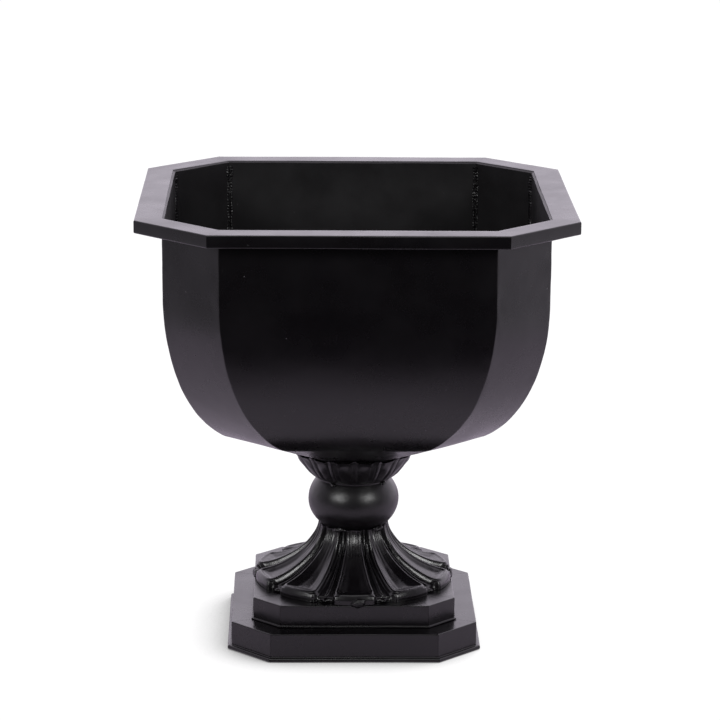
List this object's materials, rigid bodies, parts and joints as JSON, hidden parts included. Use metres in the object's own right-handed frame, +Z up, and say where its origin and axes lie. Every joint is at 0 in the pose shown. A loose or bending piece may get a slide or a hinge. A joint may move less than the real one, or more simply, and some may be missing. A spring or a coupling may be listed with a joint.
{
  "type": "urn planter",
  "caption": "Octagonal sheet-iron urn planter: deep bowl with a tube rim, leaf cup, round knop and petalled cast foot on a stepped plinth.",
  "frame": {"origin": "on the floor, under the centre of the plinth", "axes": "+Z up along the stem to the rim; a wide side of the bowl faces each of -Y (front), +X, +Y and -X"},
  "size_m": [0.4, 0.4, 0.42],
  "materials": {
    "sheet_paint": "satin black paint on welded sheet iron",
    "tube_paint": "satin black paint on rectangular steel tube",
    "cast_paint": "satin black paint on cast iron",
    "weld_paint": "black paint on weld metal"
  },
  "bodies": {
    "root": {"rim_right": "tube_paint", "rim_back_right": "tube_paint", "rim_back": "tube_paint", "rim_back_left": "tube_paint", "rim_left": "tube_paint", "rim_front_left": "tube_paint", "rim_front": "tube_paint", "rim_front_right": "tube_paint", "bowl_right": "sheet_paint", "bowl_back_right": "sheet_paint", "bowl_back": "sheet_paint", "bowl_back_left": "sheet_paint", "bowl_left": "sheet_paint", "bowl_front_left": "sheet_paint", "bowl_front": "sheet_paint", "bowl_front_right": "sheet_paint", "bowl_floor": "sheet_paint", "seam_weld_1": "weld_paint", "seam_weld_2": "weld_paint", "seam_weld_3": "weld_paint", "seam_weld_4": "weld_paint", "seam_weld_5": "weld_paint", "seam_weld_6": "weld_paint", "seam_weld_7": "weld_paint", "seam_weld_8": "weld_paint", "leaf_cup": "cast_paint", "knop": "cast_paint", "foot": "cast_paint", "tack_cup_knop_1": "weld_paint", "tack_cup_knop_2": "weld_paint", "tack_cup_knop_3": "weld_paint", "tack_knop_foot_1": "weld_paint", "tack_knop_foot_2": "weld_paint", "tack_knop_foot_3": "weld_paint", "tack_foot_plinth_1": "weld_paint", "tack_foot_plinth_2": "weld_paint", "tack_foot_plinth_3": "weld_paint", "tack_foot_plinth_4": "weld_paint", "upper_tier_right": "sheet_paint", "upper_tier_back_right": "sheet_paint", "upper_tier_back": "sheet_paint", "upper_tier_back_left": "sheet_paint", "upper_tier_left": "sheet_paint", "upper_tier_front_left": "sheet_paint", "upper_tier_front": "sheet_paint", "upper_tier_front_right": "sheet_paint", "lower_tier_right": "sheet_paint", "lower_tier_back_right": "sheet_paint", "lower_tier_back": "sheet_paint", "lower_tier_back_left": "sheet_paint", "lower_tier_left": "sheet_paint", "lower_tier_front_left": "sheet_paint", "lower_tier_front": "sheet_paint", "lower_tier_front_right": "sheet_paint"}
  },
  "joints": []
}
